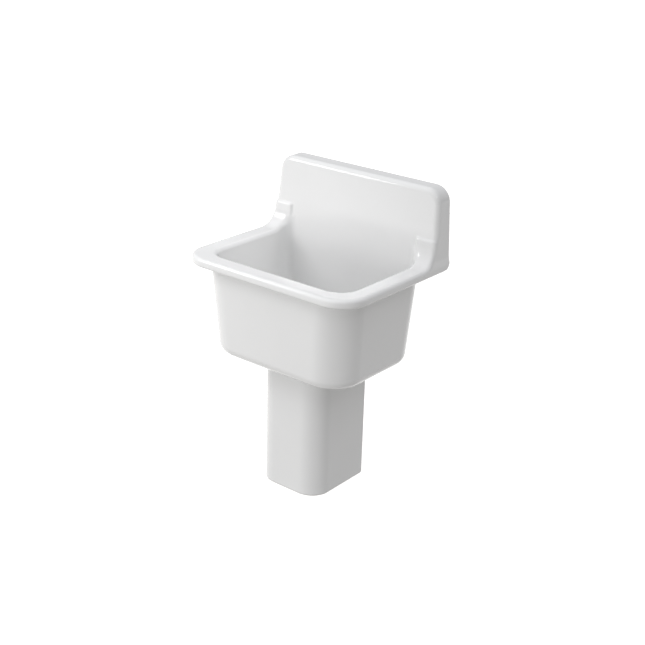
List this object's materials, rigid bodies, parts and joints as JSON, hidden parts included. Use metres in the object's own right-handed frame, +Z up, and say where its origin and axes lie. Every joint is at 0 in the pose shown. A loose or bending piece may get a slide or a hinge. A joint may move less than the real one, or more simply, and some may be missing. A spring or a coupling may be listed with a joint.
{
  "type": "pedestal sink",
  "caption": "Deep rectangular white china service sink with a rolled rim and integral backsplash on an open-backed pedestal, with strainer waste and bottle trap to the floor.",
  "frame": {"origin": "on the floor, under the middle of the sink's width and depth", "axes": "+Z up, +Y towards the wall behind the backsplash, -Y towards the user, +X to the right of a user who faces the sink"},
  "size_m": [0.5, 0.39, 0.755],
  "materials": {
    "vitreous_china": "white gloss glaze",
    "black_rubber": "matte",
    "zinc_steel": "zinc plated",
    "stainless_steel": "brushed",
    "fibre": "red-brown pressed fibre",
    "brass": "plain cast",
    "white_nylon": "natural nylon",
    "chrome": "polished",
    "white_plastic": "moulded polypropylene",
    "grey_pvc": "extruded PVC"
  },
  "bodies": {
    "fixed": {"basin": "vitreous_china", "pedestal": "vitreous_china", "pedestal_pads": "black_rubber", "wall_hanger_left": "zinc_steel", "wall_hanger_right": "zinc_steel", "drain_gasket_upper": "black_rubber", "drain_body": "stainless_steel", "drain_gasket_lower": "black_rubber", "drain_friction_washer": "fibre", "drain_locknut": "brass", "tailpiece_washer": "white_nylon", "tailpiece": "chrome", "trap_body": "white_plastic", "outlet_bend": "grey_pvc"},
    "strainer": {"strainer_basket": "stainless_steel", "strainer_knob": "stainless_steel", "strainer_stopper": "black_rubber"},
    "trap_cup_seal": {"trap_cup_seal": "black_rubber"},
    "trap_cup": {"trap_cup": "white_plastic"},
    "trap_inlet_washer": {"trap_inlet_washer": "black_rubber"},
    "trap_inlet_nut": {"trap_inlet_nut": "white_plastic"},
    "trap_outlet_washer": {"trap_outlet_washer": "black_rubber"},
    "trap_outlet_nut": {"trap_outlet_nut": "white_plastic"},
    "tailpiece_nut": {"tailpiece_nut": "chrome"},
    "floor_plate": {"floor_plate": "white_plastic"}
  },
  "joints": [
    {"name": "strainer_lift", "type": "slide", "parent": "fixed", "child": "strainer", "axis": [0, 0, 1], "range_m": [0, 0.1]},
    {"name": "cup_travel", "type": "slide", "parent": "fixed", "child": "trap_cup_seal", "axis": [0, 0, -1], "range_m": [0, 0.009]},
    {"name": "cup_turn", "type": "hinge", "parent": "trap_cup_seal", "child": "trap_cup", "pos_m": [0, -0.008, 0.13], "axis": [0, 0, -1], "range_deg": [0, 1080]},
    {"name": "inlet_nut_travel", "type": "slide", "parent": "fixed", "child": "trap_inlet_washer", "axis": [0, 0, 1], "range_m": [0, 0.0075]},
    {"name": "inlet_nut_turn", "type": "hinge", "parent": "trap_inlet_washer", "child": "trap_inlet_nut", "pos_m": [0, -0.008, 0.248], "axis": [0, 0, 1], "range_deg": [0, 1080]},
    {"name": "outlet_nut_travel", "type": "slide", "parent": "fixed", "child": "trap_outlet_washer", "axis": [0, 1, 0], "range_m": [0, 0.0075]},
    {"name": "outlet_nut_turn", "type": "hinge", "parent": "trap_outlet_washer", "child": "trap_outlet_nut", "pos_m": [0, 0.044, 0.208], "axis": [0, 1, 0], "range_deg": [0, 1080]},
    {"name": "tailpiece_nut_travel", "type": "slide", "parent": "fixed", "child": "tailpiece_nut", "axis": [0, 0, -1], "range_m": [0, 0.0075]},
    {"name": "floor_plate_lift", "type": "slide", "parent": "fixed", "child": "floor_plate", "axis": [0, 0, 1], "range_m": [0, 0.15]}
  ],
  "couplings": [
    {"joint": "cup_travel", "follows": "cup_turn", "m_per_rad": 0.00047746},
    {"joint": "inlet_nut_travel", "follows": "inlet_nut_turn", "m_per_rad": 0.00039789},
    {"joint": "outlet_nut_travel", "follows": "outlet_nut_turn", "m_per_rad": 0.00039789}
  ]
}
